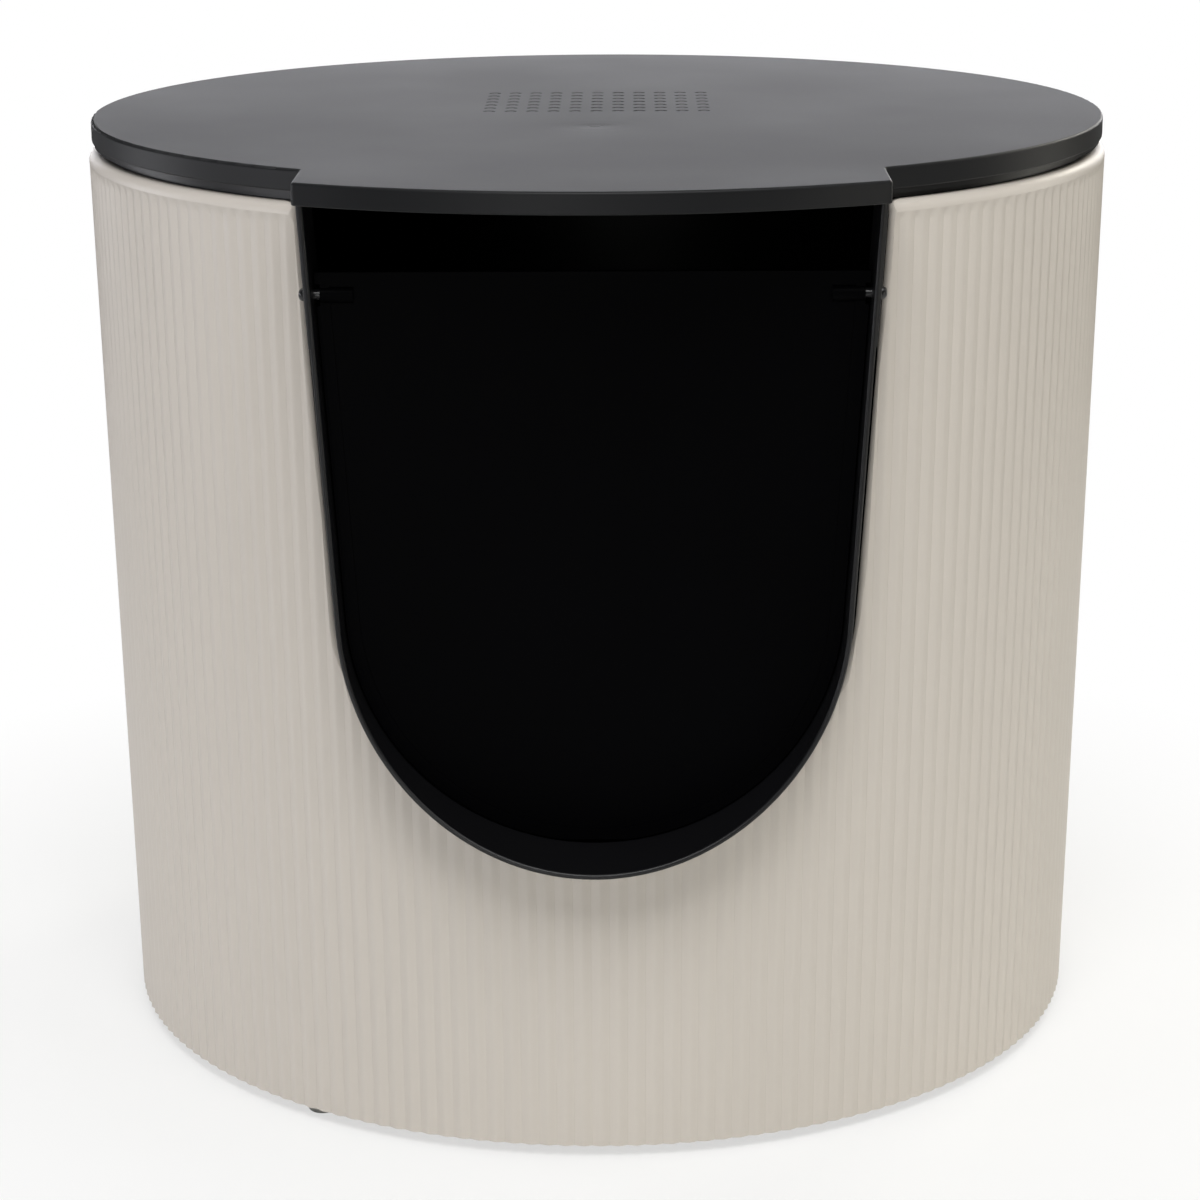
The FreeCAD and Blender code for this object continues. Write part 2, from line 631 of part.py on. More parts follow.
def lid_body():
    body = new_body("lid_body")
    revolve(body, "disc", [
        (NONE, flange_top),
        (lid_radius, flange_top),
        (lid_radius, lid_top),
        (NONE, lid_top),
    ])
    half_width = side_at(S["cheek_extra"], flange_top) + S["tab_extra"]
    tab = new_sketch(body, "tab_outline", "XY_Plane", flange_top)
    add_tab(tab, half_width, tab_radius)
    extrude(body, "tab", tab, S["lid_height"])
    near = S["overrun"].value / 100

    def plan_corner(edge):
        box = edge.BoundBox
        upright = box.ZLength > S["lid_height"].value - near and box.XLength + box.YLength < near
        return upright and abs(abs(box.XMax) - half_width.value) < near

    round_edges(body, "tab_corners", S["tab_corner"], plan_corner)
    round_edges(body, "top_edge", S["lid_round"], lambda edge: (
        edge.BoundBox.ZMin > lid_top.value - near))
    round_edges(body, "skirt_edge", S["lid_round"] / 2, lambda edge: (
        edge.BoundBox.ZMax < flange_top.value + near))
    inner = lid_radius - S["lid_skirt"]
    below = flange_top - S["plug_depth"] - S["overrun"]
    revolve(body, "underside", [
        (NONE, below),
        (inner, below),
        (inner, plate_under),
        (NONE, plate_under),
    ], cut=True)
    ring = liner_radius - S["liner_wall"] - S["plug_gap"]
    ring_bottom = flange_top - S["plug_depth"]
    revolve(body, "locating_ring", [
        (ring - S["plug_wall"], ring_bottom),
        (ring, ring_bottom),
        (ring, plate_under),
        (ring - S["plug_wall"], plate_under),
    ])
    hollow = new_sketch(body, "tab_hollow_outline", "XY_Plane", plate_under)
    add_tab(hollow, half_width - S["lid_skirt"], tab_radius - S["lid_skirt"])
    extrude(body, "tab_hollow", hollow, plate_under - below, cut=True)
    rib = new_sketch(body, "rib_outline", "XY_Plane", plate_under)
    half_rib = S["rib_wall"] / 2
    rib_end = ring - S["plug_wall"] / 2
    add_polygon(rib, [(-half_rib, -rib_end), (half_rib, -rib_end),
                      (half_rib, -S["rib_start"]), (-half_rib, -S["rib_start"])])
    first_rib = extrude(body, "rib", rib, S["rib_depth"], back=True)
    doc.recompute()
    ribs = body.newObject("PartDesign::PolarPattern", "ribs")
    ribs.Originals = [first_rib]
    ribs.Axis = (rib, ["N_Axis"])
    ribs.Angle = 360
    ribs.Occurrences = int(S["rib_count"].value)
    bind(ribs, "Occurrences", S["rib_count"])
    body.Tip = ribs
    wide, deep = frame_half()
    frame = new_sketch(body, "filter_frame_outline", "XY_Plane", plate_under)
    outer = S["frame_wall"]
    back = S["vent_back"]
    add_rectangle(frame, wide + outer, back - deep - outer, back + deep + outer)
    add_rectangle(frame, wide, back - deep, back + deep)
    extrude(body, "filter_frame", frame, S["frame_depth"], back=True)
    stub_holes = new_sketch(body, "stub_hole_outline", "YZ_Plane")
    add_circle(stub_holes, cover_axis(), S["stub_radius"] + S["stub_fit"])
    extrude(body, "stub_holes", stub_holes, (wide + outer) * 2 + S["overrun"], cut=True, both=True)
    return body


def vent_cutter():
    """Every vent is a short bowed slot; they stand in rows and columns over the filter."""
    middle = S["vent_arc"].value
    half = S["vent_width"].value / 2
    low = plate_under.value - S["overrun"].value
    height = lid_top.value - plate_under.value + 2 * S["overrun"].value
    rows = int(S["vent_rows"].value)
    columns = int(S["vent_columns"].value)
    spread_share = 0.36
    angle = math.pi * spread_share

    def at(reach, turn):
        return Vector(reach * math.sin(turn), reach * math.cos(turn), low)

    def cap(turn, sign):
        beyond = turn + sign * half / middle
        return at(middle, beyond)

    outer, inner = middle + half, middle - half
    outline = Part.Wire([
        Part.Arc(at(outer, -angle), at(outer, 0), at(outer, angle)).toShape(),
        Part.Arc(at(outer, angle), cap(angle, 1), at(inner, angle)).toShape(),
        Part.Arc(at(inner, angle), at(inner, 0), at(inner, -angle)).toShape(),
        Part.Arc(at(inner, -angle), cap(-angle, -1), at(outer, -angle)).toShape(),
    ])
    slot = Part.Face(outline).extrude(Vector(0, 0, height))
    slots = []
    for row in range(rows):
        for column in range(columns):
            copy = slot.copy()
            across = (column - (columns - 1) / 2) * S["vent_column_pitch"].value
            along = (row - (rows - 1) / 2) * S["vent_row_pitch"].value + S["vent_back"].value
            copy.translate(Vector(across, along - middle / 2, 0))
            slots.append(copy)
    cutter = doc.addObject("Part::Feature", "vent_cutter")
    cutter.Shape = Part.makeCompound(slots)
    return cutter


def lid():
    piece = doc.addObject("Part::Cut", "lid")
    piece.Base = lid_body()
    piece.Tool = vent_cutter()
    return place(piece)


# Filter cover and carbon pad

def filter_cover():
    body = new_body("filter_cover")
    wide, deep = frame_half()
    half_wide = wide - S["cover_gap"]
    front = S["vent_back"] - deep + S["cover_gap"]
    rear = S["vent_back"] + deep - S["cover_gap"]
    axis_y, axis_z = cover_axis()
    under = axis_z - S["cover_plate"] / 2
    plate = new_sketch(body, "cover_outline", "XY_Plane", under)
    add_rectangle(plate, half_wide, front, rear)
    extrude(body, "cover_plate", plate, S["cover_plate"])
    pitch = S["grille_width"] + S["grille_bar"]
    first = -pitch * (S["grille_count"] - Size(1, "1")) / 2
    slot = new_sketch(body, "grille_outline", "XY_Plane", under + S["cover_plate"])
    half_slot = S["grille_width"] / 2
    low = front + S["grille_edge"]
    high = rear - S["grille_edge"]
    add_polygon(slot, [(first - half_slot, low), (first + half_slot, low),
                       (first + half_slot, high), (first - half_slot, high)])
    first_slot = extrude(body, "grille_slot", slot, S["cover_plate"] + S["overrun"], cut=True)
    doc.recompute()
    row = body.newObject("PartDesign::LinearPattern", "grille")
    row.Originals = [first_slot]
    row.Direction = (slot, ["H_Axis"])
    row.Length = (pitch * (S["grille_count"] - Size(1, "1"))).value
    bind(row, "Length", pitch * (S["grille_count"] - Size(1, "1")))
    row.Occurrences = int(S["grille_count"].value)
    bind(row, "Occurrences", S["grille_count"])
    body.Tip = row
    rod = new_sketch(body, "stub_outline", "YZ_Plane")
    add_circle(rod, (axis_y, axis_z), S["stub_radius"])
    extrude(body, "stubs", rod, (wide + S["stub_reach"]) * 2, both=True)
    catch = new_sketch(body, "catch_outline", "XY_Plane", under)
    add_rectangle(catch, S["catch_width"] / 2, front, front + S["catch_wall"])
    extrude(body, "catch", catch, S["catch_drop"], back=True)
    return place(body)


def carbon_filter():
    wide, deep = frame_half()
    axis_y, axis_z = cover_axis()
    front = S["vent_back"] - deep + S["pad_gap"]
    rear = axis_y - S["pad_setback"]
    half_wide = wide - S["pad_gap"]
    body = new_body("carbon_filter")
    outline = new_sketch(body, "pad_outline", "XY_Plane", axis_z + S["cover_plate"] / 2)
    add_rectangle(outline, half_wide, front, rear)
    extrude(body, "pad", outline, S["pad_thickness"])
    return place(body)


for quarter, corner in enumerate(("front_left", "front_right", "rear_right", "rear_left")):
    pieces.append(foot("foot_" + corner, quarter))
pieces.append(litter_liner())
pieces.append(hinge_pin("hinge_pin_left", -1))
pieces.append(hinge_pin("hinge_pin_right", 1))
pieces.append(flap_door())
pieces.append(lid())
pieces.append(filter_cover())
pieces.append(carbon_filter())
pieces.append(outer_shell())
doc.recompute()

for item in doc.Objects:
    if "Invalid" in item.State or "Error" in item.State:
        raise RuntimeError(f"{item.Label}: {item.State}")

os.makedirs("parts", exist_ok=True)
for piece in pieces:
    shape = piece.Shape
    if shape.isNull() or not shape.isValid() or not shape.Solids:
        raise RuntimeError(f"{piece.Label}: bad shape")
    box = shape.BoundBox
    print(f"{piece.Label}: {len(shape.Solids)} solid, {len(shape.Faces)} faces, {shape.Volume:.0f} mm3")
    low = (box.XMin, box.YMin, box.ZMin)
    high = (box.XMax, box.YMax, box.ZMax)
    print("  from", *(f"{place:.1f}" for place in low), "to", *(f"{place:.1f}" for place in high))
    shape.exportStep(f"parts/{piece.Label}.step")
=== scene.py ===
"""Looks of the covered litter box: the reeded drum and the finish of every piece.

Metres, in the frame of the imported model: +Z up, the entry faces -Y, the origin is on the floor.
"""

import math

import bmesh
import bpy
from mathutils import Matrix, Vector


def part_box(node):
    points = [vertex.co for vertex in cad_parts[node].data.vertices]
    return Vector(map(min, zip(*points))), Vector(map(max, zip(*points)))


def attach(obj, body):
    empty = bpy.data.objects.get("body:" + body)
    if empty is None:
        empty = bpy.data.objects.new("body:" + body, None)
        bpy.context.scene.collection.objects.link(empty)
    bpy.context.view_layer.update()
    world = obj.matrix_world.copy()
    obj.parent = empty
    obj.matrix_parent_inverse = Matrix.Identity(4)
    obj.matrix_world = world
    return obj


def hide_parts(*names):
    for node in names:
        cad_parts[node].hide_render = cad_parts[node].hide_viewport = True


bl_info = {
    "name": "Covered litter box",
    "version": (1, 0, 0),
    "blender": (4, 5, 0),
    "location": "View3D > Sidebar > Litter box",
    "description": "Drum, liner, flap, lid and filter of a covered litter box",
    "category": "Object",
}

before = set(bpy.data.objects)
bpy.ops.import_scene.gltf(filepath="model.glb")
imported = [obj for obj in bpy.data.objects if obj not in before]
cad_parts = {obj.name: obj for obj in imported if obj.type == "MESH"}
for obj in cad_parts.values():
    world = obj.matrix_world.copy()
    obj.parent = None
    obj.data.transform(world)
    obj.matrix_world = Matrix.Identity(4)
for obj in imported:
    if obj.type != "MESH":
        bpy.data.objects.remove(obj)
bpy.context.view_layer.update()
MM = 0.001

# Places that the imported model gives

GATE_AHEAD = 60.7 * MM

drum_low, drum_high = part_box("outer_shell")
lid_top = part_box("lid")[1].z
liner_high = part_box("litter_liner")[1]
pad_low, pad_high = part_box("carbon_filter")

# The liner's flange is round about the drum's axis, so its half width from its rear gives the axis
drum_axis = Vector((0, liner_high.y - liner_high.x, 0))
gate_mark = Vector((0, drum_axis.y - GATE_AHEAD, lid_top))


# Settings a user would change

def length(name, about, value):
    return bpy.props.FloatProperty(
        name=name, description=about, default=value, min=0, unit="LENGTH", precision=5)


def colour(name, about, code):
    red, green, blue, _alpha = from_hex(code)
    return bpy.props.FloatVectorProperty(
        name=name, description=about, default=(red, green, blue), min=0, max=1, subtype="COLOR")


def from_hex(code, alpha=1.0):
    """Linear colour of an sRGB hex value."""
    channels = [int(code[place:place + 2], 16) / 255 for place in (1, 3, 5)]
    linear = [c / 12.92 if c <= 0.04045 else ((c + 0.055) / 1.055) ** 2.4 for c in channels]
    return (*linear, alpha)


class DrumSettings(bpy.types.PropertyGroup):
    rim_radius: length("Rim radius", "Outside of the drum at its rim", 210.37 * MM)
    base_radius: length("Base radius", "Outside of the drum at its bottom edge", 204 * MM)
    wall: length("Wall", "Drum wall", 2.4 * MM)
    floor: length("Floor", "Drum floor", 3 * MM)
    rim_width: length("Rim width", "Rolled rim across its top", 9 * MM)
    rim_round: length("Rim rounding", "Rounding of the rolled rim", 4.3 * MM)
    rim_lip: length("Rim lip", "Inner lip of the rolled rim from its top", 6 * MM)
    reeds: bpy.props.IntProperty(
        name="Reeds", description="Reeds round the drum", default=186, min=3)
    reed_depth: length("Reed depth", "Depth of the valleys between reeds", 0.9 * MM)
    reed_inset: length("Reed inset", "Reed crests below the smooth band", 0.05 * MM)
    reed_crown: bpy.props.FloatProperty(
        name="Reed crown", description="Rounding of the crests, as a share of half a reed",
        default=0.15, min=0.01)
    reed_margin: length("Reed tops", "Reeds end this far below the rim", 4.4 * MM)
    reed_fade: length("Reed ends", "Length over which a valley runs out", 4 * MM)
    reed_turn: bpy.props.FloatProperty(
        name="Reed turn", description="Turn of the reeds to the right of the front, in reeds",
        default=0.24)
    colour: colour("Colour", "Greige polypropylene", "#CCC5BC")


class SlotSettings(bpy.types.PropertyGroup):
    radius: length("Radius", "Round bottom of the spout, outside", 96 * MM)
    centre: length("Centre", "Middle of the round bottom above the floor", 219.4 * MM)
    taper: bpy.props.FloatProperty(
        name="Taper", description="Lean of the sides", default=math.radians(3.6), subtype="ANGLE")
    gap: length("Gap", "Between the spout and the slot", 2.6 * MM)
    edge_round: length("Edge rounding", "Rounding of the slot's outer edge", 2.3 * MM)
    corner_round: length("Corner rounding", "Rounding of the slot's top corners", 3.5 * MM)


class FinishSettings(bpy.types.PropertyGroup):
    lid: colour("Lid", "Spark-textured black ABS", "#111214")
    liner: colour("Liner", "Satin black polypropylene", "#0E0E10")
    # Near-black flap colour: painted shade, standing for the unlit inside of the box seen through the smoked
    # acrylic
    flap: colour("Flap", "Smoked acrylic, seen against the dark inside", "#030304")
    pins: colour("Pins", "Blackened steel", "#1C1C1E")
    feet: colour("Feet", "Clear silicone", "#DCDCD6")
    felt: colour("Felt", "Carbon-filled polyester felt", "#1B1B1C")


# Materials

def add_node(tree, kind, values=None, links=None, **settings):
    """Add one node: settings are its attributes, values its sockets, links what feeds them."""
    node = tree.nodes.new(kind)
    for name, value in settings.items():
        setattr(node, name, value)
    for socket, value in (values or {}).items():
        node.inputs[socket].default_value = value
    for socket, source in (links or {}).items():
        tree.links.new(source, node.inputs[socket])
    return node


def new_material(name):
    material = bpy.data.materials.new(name)
    material.use_nodes = True
    tree = material.node_tree
    tree.nodes.clear()
    return material, tree


def finish_material(tree, shader):
    add_node(tree, "ShaderNodeOutputMaterial", links={"Surface": shader.outputs[0]})


# Noise seldom leaves this range, so it is stretched from here
NOISE_RANGE = {"From Min": 0.3, "From Max": 0.7}
FLOW_CLOUDS = {"Scale": 9, "Detail": 3, "Roughness": 0.5}


def moulded(name, tint, roughness, grain_mm, grain_height_mm, specular=0.5, mottle=0.05, cloud=0.02,
            gate=None):
    """Injection-moulded plastic: an even colour, a slight flow mottle and a fine eroded grain.

    The grain of the real mould is about 0.1 mm. It is drawn coarser, to show at the photo's distance.
    """
    material, tree = new_material(name)
    place = add_node(tree, "ShaderNodeTexCoord").outputs["Object"]
    flow = add_node(tree, "ShaderNodeTexNoise", FLOW_CLOUDS, {"Vector": place})
    shade = add_node(tree, "ShaderNodeMapRange",
                     {**NOISE_RANGE, "To Min": 1 - mottle, "To Max": 1 + mottle},
                     {"Value": flow.outputs["Fac"]})
    base = add_node(tree, "ShaderNodeVectorMath", {0: tint[:3]},
                    {1: shade.outputs["Result"]}, operation="MULTIPLY")
    grain = add_node(tree, "ShaderNodeTexNoise",
                     {"Scale": 1 / (grain_mm * MM), "Detail": 2, "Roughness": 0.6}, {"Vector": place})
    rough = add_node(tree, "ShaderNodeMapRange",
                     {**NOISE_RANGE, "To Min": roughness - cloud, "To Max": roughness + cloud},
                     {"Value": flow.outputs["Fac"]})
    bump = add_node(tree, "ShaderNodeBump", {"Strength": 1, "Distance": grain_height_mm * MM},
                    {"Height": grain.outputs["Fac"]})
    if gate is not None:
        bump = gate_bump(tree, place, bump, gate)
    shader = add_node(tree, "ShaderNodeBsdfPrincipled", {"Specular IOR Level": specular},
                      {"Base Color": base.outputs["Vector"], "Roughness": rough.outputs["Result"],
                       "Normal": bump.outputs["Normal"]})
    finish_material(tree, shader)
    return material


GATE_REACH = 30 * MM
GATE_DEPTH = 0.35 * MM
# Height of the lid's top round the gate mark: share of the reach, share of the depth
GATE_MIDDLE, GATE_RIM = 0.9, 1.0
GATE_RINGS = ((0.05, 0.9), (0.085, 0.0), (0.13, 0.35), (0.36, 0.75), (0.62, 0.95))


def gate_bump(tree, place, bump, gate):
    """Small sunk gate mark with a faint ring round it, where the plastic entered the mould."""
    offset = add_node(tree, "ShaderNodeVectorMath", {1: gate}, {0: place}, operation="DISTANCE")
    share = add_node(tree, "ShaderNodeMath", {1: GATE_REACH}, {0: offset.outputs["Value"]},
                     operation="DIVIDE")
    profile = add_node(tree, "ShaderNodeValToRGB", links={"Fac": share.outputs[0]})
    ramp = profile.color_ramp
    ramp.interpolation = "EASE"
    for element, level in zip(ramp.elements, (GATE_MIDDLE, GATE_RIM)):
        element.color = (level, level, level, 1)
    for position, level in GATE_RINGS:
        element = ramp.elements.new(position)
        element.color = (level, level, level, 1)
    return add_node(tree, "ShaderNodeBump", {"Strength": 1, "Distance": GATE_DEPTH},
                    {"Height": profile.outputs["Color"], "Normal": bump.outputs["Normal"]})


def silicone(name, tint):
    """Clear silicone: soft, slightly cloudy and faintly glossy."""
    material, tree = new_material(name)
    place = add_node(tree, "ShaderNodeTexCoord").outputs["Object"]
    cloud = add_node(tree, "ShaderNodeTexNoise", {"Scale": 1 / (2.5 * MM), "Detail": 2}, {"Vector": place})
    rough = add_node(tree, "ShaderNodeMapRange", {"To Min": 0.2, "To Max": 0.4},
                     {"Value": cloud.outputs["Fac"]})
    shader = add_node(tree, "ShaderNodeBsdfPrincipled",
                      {"Base Color": tint, "Transmission Weight": 0.7, "IOR": 1.41},
                      {"Roughness": rough.outputs["Result"]})
    finish_material(tree, shader)
    return material


def felt(name, tint):
    """Needled polyester felt with carbon, no gloss. Its fibres are drawn coarser than real, 0.8 mm apart."""
    material, tree = new_material(name)
    place = add_node(tree, "ShaderNodeTexCoord").outputs["Object"]
    fibre = add_node(tree, "ShaderNodeTexNoise",
                     {"Scale": 1 / (0.8 * MM), "Detail": 4, "Roughness": 0.7, "Distortion": 1.5},
                     {"Vector": place})
    shade = add_node(tree, "ShaderNodeMapRange", {"To Min": 0.5, "To Max": 1.7},
                     {"Value": fibre.outputs["Fac"]})
    base = add_node(tree, "ShaderNodeVectorMath", {0: tint[:3]},
                    {1: shade.outputs["Result"]}, operation="MULTIPLY")
    bump = add_node(tree, "ShaderNodeBump", {"Strength": 1, "Distance": 0.4 * MM},
                    {"Height": fibre.outputs["Fac"]})
    shader = add_node(tree, "ShaderNodeBsdfPrincipled",
                      {"Roughness": 0.95, "Specular IOR Level": 0.2, "Sheen Weight": 0.3},
                      {"Base Color": base.outputs["Vector"], "Normal": bump.outputs["Normal"]})
    finish_material(tree, shader)
    return material


def linear(setting):
    return (*setting, 1.0)


def dress(node, material):
    """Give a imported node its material."""
    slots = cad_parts[node].data.materials
    slots.clear()
    slots.append(material)


# Meshes

def sheet_of(columns, rows, place):
    """A grid of faces whose points go where place(column, row) says."""
    mesh = bmesh.new()
    bmesh.ops.create_grid(mesh, x_segments=columns - 1, y_segments=rows - 1, size=1)
    grid = {}
    for vertex in mesh.verts:
        column = round((vertex.co.x + 1) / 2 * (columns - 1))
        row = round((vertex.co.y + 1) / 2 * (rows - 1))
        grid[column, row] = vertex
    for (column, row), vertex in grid.items():
        vertex.co = place(column, row)
    return mesh, grid


def to_object(mesh, name, material=None):
    data = bpy.data.meshes.new(name)
    mesh.to_mesh(data)
    mesh.free()
    piece = bpy.data.objects.new(name, data)
    bpy.context.scene.collection.objects.link(piece)
    if material is not None:
        data.materials.append(material)
    return piece


def cut_away(piece, cutter):
    """Subtract the cutter for good."""
    modifier = piece.modifiers.new("cut", "BOOLEAN")
    modifier.operation = "DIFFERENCE"
    modifier.solver = "MANIFOLD"
    modifier.object = cutter
    bpy.context.view_layer.update()
    evaluated = piece.evaluated_get(bpy.context.evaluated_depsgraph_get())
    result = bpy.data.meshes.new_from_object(evaluated)
    piece.modifiers.clear()
    old = piece.data
    piece.data = result
    result.name = old.name
    bpy.data.meshes.remove(old)
    bpy.data.objects.remove(cutter)


def smooth(piece, angle):
    data = piece.data
    data.polygons.foreach_set("use_smooth", [True] * len(data.polygons))
    data.set_sharp_from_angle(angle=math.radians(angle))


def arc(centre_x, centre_z, radius, start, end, steps):
    """Points of an arc in the profile plane, angles in degrees."""
    points = []
    for step in range(steps + 1):
        angle = math.radians(start + (end - start) * step / steps)
        points.append((centre_x + radius * math.cos(angle), centre_z + radius * math.sin(angle)))
    return points


# Drum: steps of its mesh, how near counts as the same place, and the crease angle between crests and valleys

REED_SAMPLES = 8
ROW_GAP = 55 * MM
REED_END_ROWS = 7
RIM_STEPS = 8
RIM_INSIDE_STEPS = 3
SAME_POINT = 0.001 * MM
SAME_LEVEL = 0.01 * MM
ON_WALL = 0.02 * MM
REED_CREASE = 22


def wall_radius(drum, height):
    """Outside of the tapered wall at a height."""
    slope = (drum.rim_radius - drum.base_radius) / (drum_high.z - drum_low.z)
    return drum.base_radius + slope * (height - drum_low.z)


def drum_profile(drum, low, high):
    """Half section of the drum, from its bottom edge over the rolled rim to its floor."""
    lip = drum.rim_radius - drum.rim_width
    round_z = high - drum.rim_round
    inner_round = drum.rim_round - drum.wall

    def wall(height):
        return wall_radius(drum, height), height

    reed_end = high - drum.reed_margin
    fade_start = reed_end - drum.reed_fade
    rows = int((fade_start - low) / ROW_GAP)
    points = [wall(low + (fade_start - low) * row / rows) for row in range(rows)]
    points += [wall(fade_start + drum.reed_fade * row / REED_END_ROWS)
               for row in range(REED_END_ROWS + 1)]
    outer_centre = wall(round_z)[0] - drum.rim_round
    inner_centre = lip + drum.rim_round
    points += arc(outer_centre, round_z, drum.rim_round, 0, 90, RIM_STEPS)
    points += arc(inner_centre, round_z, drum.rim_round, 90, 180, RIM_STEPS)
    points += [(lip, high - drum.rim_lip), (lip + drum.wall, high - drum.rim_lip)]
    points += arc(inner_centre, round_z, inner_round, 180, 90, RIM_INSIDE_STEPS)
    points += arc(outer_centre, round_z, inner_round, 90, 0, RIM_INSIDE_STEPS)
    points += [(drum.base_radius - drum.wall, low + drum.floor)]
    return points


def drum_mesh(drum, low, high):
    """Spin the section, close underside and floor, then press the reeds into the outer wall."""
    mesh = bmesh.new()
    verts = [mesh.verts.new((radius, 0, height)) for radius, height in drum_profile(drum, low, high)]
    edges = [mesh.edges.new(pair) for pair in zip(verts, verts[1:])]
    steps = drum.reeds * REED_SAMPLES
    bmesh.ops.spin(mesh, geom=verts + edges, cent=(0, 0, 0), axis=(0, 0, 1),
                   angle=2 * math.pi, steps=steps, use_merge=True)
    bmesh.ops.remove_doubles(mesh, verts=mesh.verts, dist=SAME_POINT)
    for level in (low, low + drum.floor):
        rim = [edge for edge in mesh.edges if edge.is_boundary
               and all(abs(vertex.co.z - level) < SAME_LEVEL for vertex in edge.verts)]
        bmesh.ops.contextual_create(mesh, geom=rim)
    bmesh.ops.recalc_face_normals(mesh, faces=mesh.faces)
    press_reeds(mesh, drum, high - drum.reed_margin)
    return mesh


def press_reeds(mesh, drum, reed_end):
    """Valleys between the reeds, which run out below the rim."""
    for vertex in mesh.verts:
        radius = math.hypot(vertex.co.x, vertex.co.y)
        if abs(radius - wall_radius(drum, vertex.co.z)) > ON_WALL or vertex.co.z > reed_end:
            continue
        turns = math.atan2(vertex.co.y, vertex.co.x) / (2 * math.pi)
        across = (turns * drum.reeds - drum.reed_turn) % 1
        run_out = min(1, (reed_end - vertex.co.z) / drum.reed_fade)
        ease = run_out * (2 - run_out)
        crown = drum.reed_crown
        fall = math.hypot(2 * across - 1, crown) - crown
        depth = drum.reed_inset + drum.reed_depth * fall / (math.hypot(1, crown) - crown)
        factor = (radius - depth * ease) / radius
        vertex.co.x *= factor
        vertex.co.y *= factor


# Slot: stations along its bottom, a side and a top corner, and how far the cutter goes past the drum

BOTTOM_STEPS = 40
SIDE_STEPS = 14
CORNER_STEPS = 8
CORNER_SWEEP = math.radians(78)
CUTTER_ABOVE = 45 * MM
CUTTER_INSIDE = -150 * MM
CUTTER_OUTSIDE = -245 * MM
CUTTER_FLARE = 4 * MM
EDGE_STEPS = 10


def slot_outline(drum, slot, high):
    """Stations of the slot: place, and direction into the drum's material, left top to right top."""
    radius = slot.radius + slot.gap
    lean = slot.taper
    side = Vector((math.sin(lean), math.cos(lean)))
    foot = Vector((radius * math.cos(lean), slot.centre - radius * math.sin(lean)))
    away = Vector((math.cos(lean), -math.sin(lean)))
    run = (high - slot.corner_round - foot.y) / side.y
    corner = foot + side * run
    centre = corner + away * slot.corner_round
    right = []
    for step in range(BOTTOM_STEPS):
        angle = -math.pi / 2 + (math.pi / 2 - lean) * step / BOTTOM_STEPS
        direction = Vector((math.cos(angle), math.sin(angle)))
        right.append((Vector((0, slot.centre)) + direction * radius, direction))
    for step in range(SIDE_STEPS):
        right.append((foot + side * run * step / SIDE_STEPS, away))
    for step in range(CORNER_STEPS + 1):
        turn = CORNER_SWEEP * step / CORNER_STEPS
        direction = Vector((math.cos(turn) * away.x + math.sin(turn) * away.y,
                            -math.sin(turn) * away.x + math.cos(turn) * away.y))
        right.append((centre - direction * slot.corner_round, direction))
    last_place, last_direction = right[-1]
    onward = Vector((-last_direction.y, last_direction.x))
    right.append((last_place + onward * CUTTER_ABOVE, last_direction))
    left = [(Vector((-place.x, place.y)), Vector((-way.x, way.y)))
            for place, way in reversed(right[1:])]
    return left + right


def slot_cutter(drum, slot, high):
    """Solid that opens the slot and rounds the drum's outer edge along it."""
    stations = slot_outline(drum, slot, high)

    def section(place, way):
        """Points across the slot's edge: in the plane of the outline's normal and Y."""
        reach = wall_radius(drum, min(place.y, high))
        face = math.sqrt(reach ** 2 - place.x ** 2)
        fall = way.x * place.x / face
        lean = math.sqrt(1 + fall ** 2)
        radius = slot.edge_round
        centre = face - radius * fall - radius * lean
        points = [(0, CUTTER_INSIDE), (0, -centre)]
        end = math.atan2(1, fall)
        for step in range(1, EDGE_STEPS + 1):
            angle = math.pi + (end - math.pi) * step / EDGE_STEPS
            points.append((radius + radius * math.cos(angle), -(centre + radius * math.sin(angle))))
        last_out, last_y = points[-1]
        points.append((last_out + CUTTER_FLARE * fall / lean, last_y - CUTTER_FLARE / lean))
        points.append((points[-1][0], CUTTER_OUTSIDE))
        return points

    sections = [section(place, way) for place, way in stations]

    def place_point(column, row):
        place, way = stations[column]
        out, depth = sections[column][row]
        return Vector((place.x + way.x * out, depth, place.y + way.y * out))

    columns, rows = len(stations), len(sections[0])
    mesh, grid = sheet_of(columns, rows, place_point)
    mesh.faces.new([grid[column, 0] for column in range(columns)])
    mesh.faces.new([grid[column, rows - 1] for column in reversed(range(columns))])
    left_end = [grid[0, row] for row in range(rows)]
    right_end = [grid[columns - 1, row] for row in range(rows)]
    mesh.faces.new(left_end + right_end[::-1])
    bmesh.ops.recalc_face_normals(mesh, faces=mesh.faces)
    return to_object(mesh, "slot_cutter")


class LITTERBOX_OT_drum(bpy.types.Operator):
    """Reeded drum with a rolled rim and a rounded entry slot"""
    bl_idname = "litterbox.drum"
    bl_label = "Drum"

    def execute(self, context):
        drum = context.scene.litterbox_drum
        slot = context.scene.litterbox_slot
        low, high = drum_low.z, drum_high.z
        # Greige polypropylene: a warm pale body with a soft sheen that draws out both faces of every reed
        finish = moulded("moulded_greige_polypropylene", linear(drum.colour), roughness=0.42,
                         grain_mm=0.7, grain_height_mm=0.02, specular=0.5, mottle=0.012)
        piece = to_object(drum_mesh(drum, low, high), "reeded_drum", finish)
        cut_away(piece, slot_cutter(drum, slot, high))
        piece.data.transform(Matrix.Translation(drum_axis))
        smooth(piece, REED_CREASE)
        weigh = piece.modifiers.new("even shading", "WEIGHTED_NORMAL")
        weigh.keep_sharp = True
        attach(piece, "drum")
        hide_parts("outer_shell")
        return {"FINISHED"}


